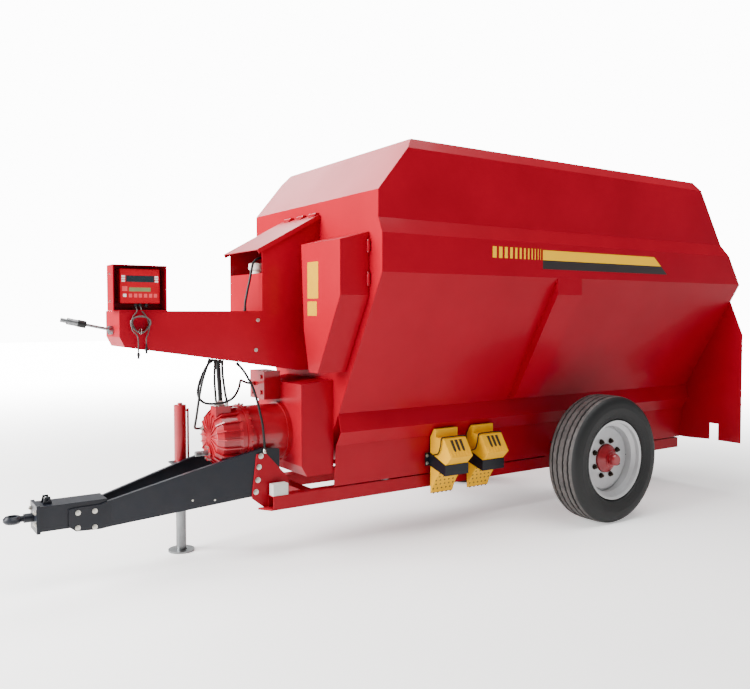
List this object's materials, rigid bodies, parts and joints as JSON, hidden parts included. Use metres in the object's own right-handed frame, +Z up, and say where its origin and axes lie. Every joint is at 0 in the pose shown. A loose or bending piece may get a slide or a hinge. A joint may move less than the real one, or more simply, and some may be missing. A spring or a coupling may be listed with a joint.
{
  "type": "trailed feed mixer wagon",
  "caption": "Trailed feed mixer wagon: a deep V-shaped tub with a lengthwise auger, a drawbar with tow eye, one axle and a side discharge door.",
  "frame": {"origin": "on the ground, below the middle of the wagon's bounding box", "axes": "+X forward towards the tow eye, +Y to the left side, +Z up"},
  "size_m": [5.798, 1.932, 2.667],
  "materials": {
    "tub_red": "gloss red paint on folded sheet steel",
    "frame_red": "gloss red paint on steel sections and castings",
    "drawbar_black": "satin blue-black paint on steel plate",
    "tyre": "black rubber with ribbed road tread",
    "rim_silver": "silver wheel paint",
    "worn_steel": "bare worn steel",
    "chock_yellow": "yellow moulded plastic",
    "grey_plastic": "light grey moulded plastic",
    "hose_rubber": "black rubber hose and cable sheath",
    "lamp_red": "red lamp lens"
  },
  "bodies": {
    "chassis": {"trough": "tub_red", "tub_side_left": "tub_red", "tub_side_right": "tub_red", "tub_front_wall": "tub_red", "tub_rear_wall": "tub_red", "extension_left": "tub_red", "extension_right": "tub_red", "extension_front": "tub_red", "extension_rear": "tub_red", "side_ribs": "tub_red", "skirts": "tub_red", "tub_feet": "frame_red", "load_cells": "worn_steel", "chassis_rails": "frame_red", "cross_members": "frame_red", "hitch_plates": "frame_red", "drawbar_plates": "drawbar_black", "drawbar_tongue": "drawbar_black", "tow_eye": "drawbar_black", "axle": "frame_red", "rear_bearing": "worn_steel", "gear_cover": "tub_red", "planetary_drive": "frame_red", "input_gearcase": "frame_red", "front_housing": "tub_red", "hinge_pins": "frame_red", "oil_tank": "tub_red", "control_arm": "tub_red", "control_lever": "drawbar_black", "weigh_indicator": "tub_red", "valve_block": "frame_red", "junction_box": "grey_plastic", "hoses": "hose_rubber", "indicator_lead": "hose_rubber", "lead_plugs": "hose_rubber", "wheel_chocks": "chock_yellow", "chock_holders": "drawbar_black", "jack_tube": "frame_red", "jack_bracket": "drawbar_black", "door_guides": "tub_red", "door_cylinder": "drawbar_black", "discharge_chute": "tub_red", "tail_lamps": "lamp_red"},
    "wheel_left": {"tyre_left": "tyre", "rim_left": "rim_silver", "hub_left": "frame_red"},
    "wheel_right": {"tyre_right": "tyre", "rim_right": "rim_silver", "hub_right": "frame_red"},
    "auger": {"auger_shaft": "worn_steel", "auger_flight": "worn_steel", "auger_knives": "worn_steel"},
    "input": {"input_shaft": "worn_steel"},
    "lid": {"housing_lid": "tub_red"},
    "guard": {"side_guard": "tub_red"},
    "jack": {"jack_leg": "worn_steel"},
    "door": {"discharge_door": "tub_red", "door_rod": "worn_steel"}
  },
  "joints": [
    {"name": "wheel_left_spin", "type": "hinge", "parent": "chassis", "child": "wheel_left", "pos_m": [-1.151, 0.828, 0.479], "axis": [0, 1, 0], "continuous": true},
    {"name": "wheel_right_spin", "type": "hinge", "parent": "chassis", "child": "wheel_right", "pos_m": [-1.151, -0.828, 0.479], "axis": [0, 1, 0], "continuous": true},
    {"name": "auger_turn", "type": "hinge", "parent": "chassis", "child": "auger", "pos_m": [-1.151, 0, 0.84], "axis": [1, 0, 0], "continuous": true},
    {"name": "input_turn", "type": "hinge", "parent": "chassis", "child": "input", "pos_m": [1.649, 0, 0.68], "axis": [1, 0, 0], "continuous": true},
    {"name": "lid_hinge", "type": "hinge", "parent": "chassis", "child": "lid", "pos_m": [0.95978, 0, 2.24848], "axis": [0, -1, 0], "range_deg": [0, 80]},
    {"name": "guard_hinge", "type": "hinge", "parent": "chassis", "child": "guard", "pos_m": [0.953, 0.764, 1.9], "axis": [0, 0, 1], "range_deg": [0, 90]},
    {"name": "jack_slide", "type": "slide", "parent": "chassis", "child": "jack", "axis": [0, 0, 1], "range_m": [0, 0.3]},
    {"name": "door_slide", "type": "slide", "parent": "chassis", "child": "door", "axis": [0, -0.4869, 0.8734], "range_m": [0, 0.3]}
  ],
  "couplings": [
    {"joint": "input_turn", "follows": "auger_turn", "ratio": 24}
  ]
}
